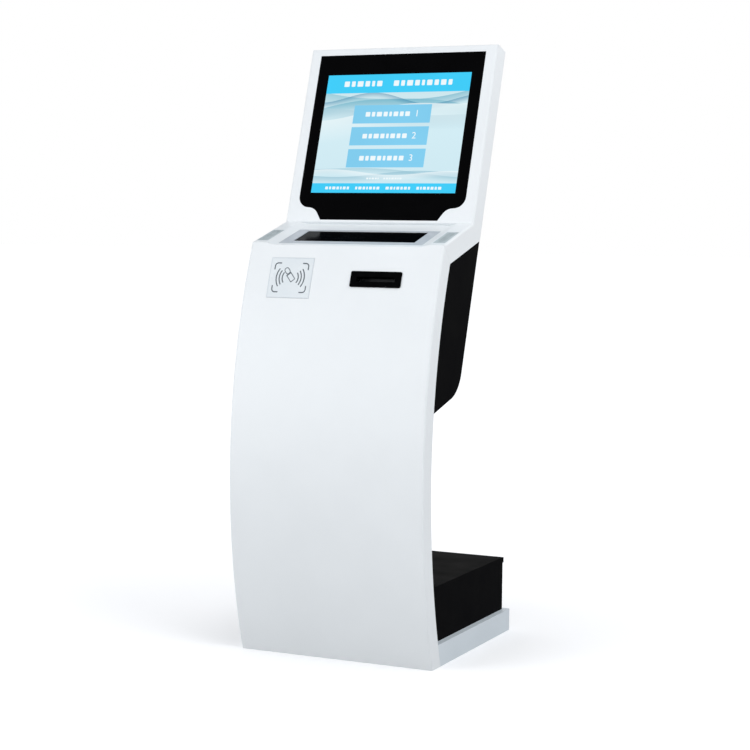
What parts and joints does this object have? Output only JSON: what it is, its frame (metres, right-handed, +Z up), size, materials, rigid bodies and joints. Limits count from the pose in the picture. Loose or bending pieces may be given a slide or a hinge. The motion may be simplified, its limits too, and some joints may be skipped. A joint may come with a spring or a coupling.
{
  "type": "queue ticket kiosk",
  "caption": "Floor-standing queue ticket kiosk: bowed column on a flat foot, sloping scanner deck, leaning touch screen, and a rear cabinet with ticket printer.",
  "frame": {"origin": "on the floor under the middle of the kiosk's overall box", "axes": "+Z up; +X to the right of a person facing the screen; +Y to the kiosk's back"},
  "size_m": [0.44, 0.4922, 1.2801],
  "materials": {
    "white_shell": "satin powder coat",
    "black_cabinet": "satin powder coat",
    "bezel_glass": "back-printed, glossy",
    "foam": "foam",
    "display": "lit screen",
    "galvanised_steel": "galvanised",
    "circuit_board": "solder mask",
    "grey_frame": "satin",
    "black_glass": "polished",
    "black_plastic": "fine grain",
    "grille_grey": "fine grain",
    "reader_plate": "satin",
    "bezel_plastic": "satin",
    "dark_metal": "matt",
    "button_metal": "brushed",
    "polished_steel": "ground",
    "zinc": "zinc plated",
    "brass": "turned",
    "platen_rubber": "ground",
    "cable_rubber": "matt",
    "paper": "smooth",
    "printer_plastic": "moulded",
    "print_head": "anodised"
  },
  "bodies": {
    "root": {"front_panel": "white_shell", "column_rear_cover": "white_shell", "deck_shell": "white_shell", "head_frame": "white_shell", "head_rear_cover": "white_shell", "base_pan": "white_shell", "upper_cabinet": "black_cabinet", "base_box": "black_cabinet", "base_lid": "black_cabinet", "base_rear_hatch": "black_cabinet", "touch_glass": "bezel_glass", "screen_gasket": "foam", "lcd_panel": "display", "lcd_brackets": "galvanised_steel", "equipment_shelf": "galvanised_steel", "printer_frame": "galvanised_steel", "floor_plate": "galvanised_steel", "display_driver_board": "circuit_board", "reader_board": "circuit_board", "printer_board": "circuit_board", "scanner_frame": "grey_frame", "scanner_window": "black_glass", "scanner_housing": "black_plastic", "speakers": "black_plastic", "reader_housing": "black_plastic", "power_inlet": "black_plastic", "switch_body": "black_plastic", "speaker_grille_left": "grille_grey", "speaker_grille_right": "grille_grey", "reader_window": "reader_plate", "ticket_bezel": "bezel_plastic", "mini_computer": "dark_metal", "power_supply": "dark_metal", "hinge_pins": "polished_steel", "head_pivot_pin": "polished_steel", "hinge_frame_leaves": "zinc", "sheet_screws": "zinc", "feed_motor": "zinc", "cutter_housing": "zinc", "platen_bushes": "brass", "inlet_pins": "brass", "cable_grommet": "cable_rubber", "power_harness": "cable_rubber", "roll_spindle": "printer_plastic"},
    "door": {"service_door": "black_cabinet", "hinge_door_leaves": "zinc", "lock_housing": "zinc", "fan_frame": "black_plastic"},
    "lock": {"lock_barrel": "zinc"},
    "fan": {"fan_rotor": "black_plastic"},
    "platen": {"platen_shaft": "polished_steel", "platen_rubber": "platen_rubber", "platen_gear": "printer_plastic"},
    "pinion": {"motor_pinion": "polished_steel"},
    "roll": {"paper_roll": "paper"},
    "thermal_head": {"print_head": "print_head"},
    "blade": {"cutter_blade": "polished_steel"},
    "rocker": {"switch_rocker": "black_plastic"},
    "button": {"power_button": "button_metal"}
  },
  "joints": [
    {"name": "service_door_hinge", "type": "hinge", "parent": "root", "child": "door", "pos_m": [-0.19, -0.00687, 0.72546], "axis": [0, 0.3107, 0.9505], "range_deg": [0, 110]},
    {"name": "door_lock_turn", "type": "hinge", "parent": "door", "child": "lock", "pos_m": [0.162, -0.01082, 0.72464], "axis": [0, -0.9505, 0.3107], "range_deg": [0, 90]},
    {"name": "fan_spin", "type": "hinge", "parent": "door", "child": "fan", "pos_m": [-0.1, -0.02405, 0.71634], "axis": [0, 0.9505, -0.3107], "continuous": true},
    {"name": "platen_spin", "type": "hinge", "parent": "root", "child": "platen", "pos_m": [0.0808, -0.1372, 0.76649], "axis": [1, 0, 0], "continuous": true},
    {"name": "pinion_spin", "type": "hinge", "parent": "root", "child": "pinion", "pos_m": [0.0808, -0.13109, 0.75079], "axis": [1, 0, 0], "continuous": true},
    {"name": "roll_spin", "type": "hinge", "parent": "root", "child": "roll", "pos_m": [0.0808, -0.09527, 0.70644], "axis": [1, 0, 0], "continuous": true},
    {"name": "print_head_lift", "type": "hinge", "parent": "root", "child": "thermal_head", "pos_m": [0.0808, -0.10157, 0.77193], "axis": [-1, 0, 0], "range_deg": [0, 45]},
    {"name": "cutter_stroke", "type": "slide", "parent": "root", "child": "blade", "axis": [0, 0.3213, 0.947], "range_m": [0, 0.0055]},
    {"name": "switch_tilt", "type": "hinge", "parent": "root", "child": "rocker", "pos_m": [-0.03, 0.23183, 0.102], "axis": [-1, 0, 0], "range_deg": [0, 16]},
    {"name": "button_press", "type": "slide", "parent": "root", "child": "button", "axis": [0, -0.947, 0.3213], "range_m": [0, 0.0012], "stiffness_N_per_m": 250}
  ],
  "couplings": [
    {"joint": "pinion_spin", "follows": "platen_spin", "ratio": -2.5},
    {"joint": "roll_spin", "follows": "platen_spin", "ratio": 0.1575}
  ]
}
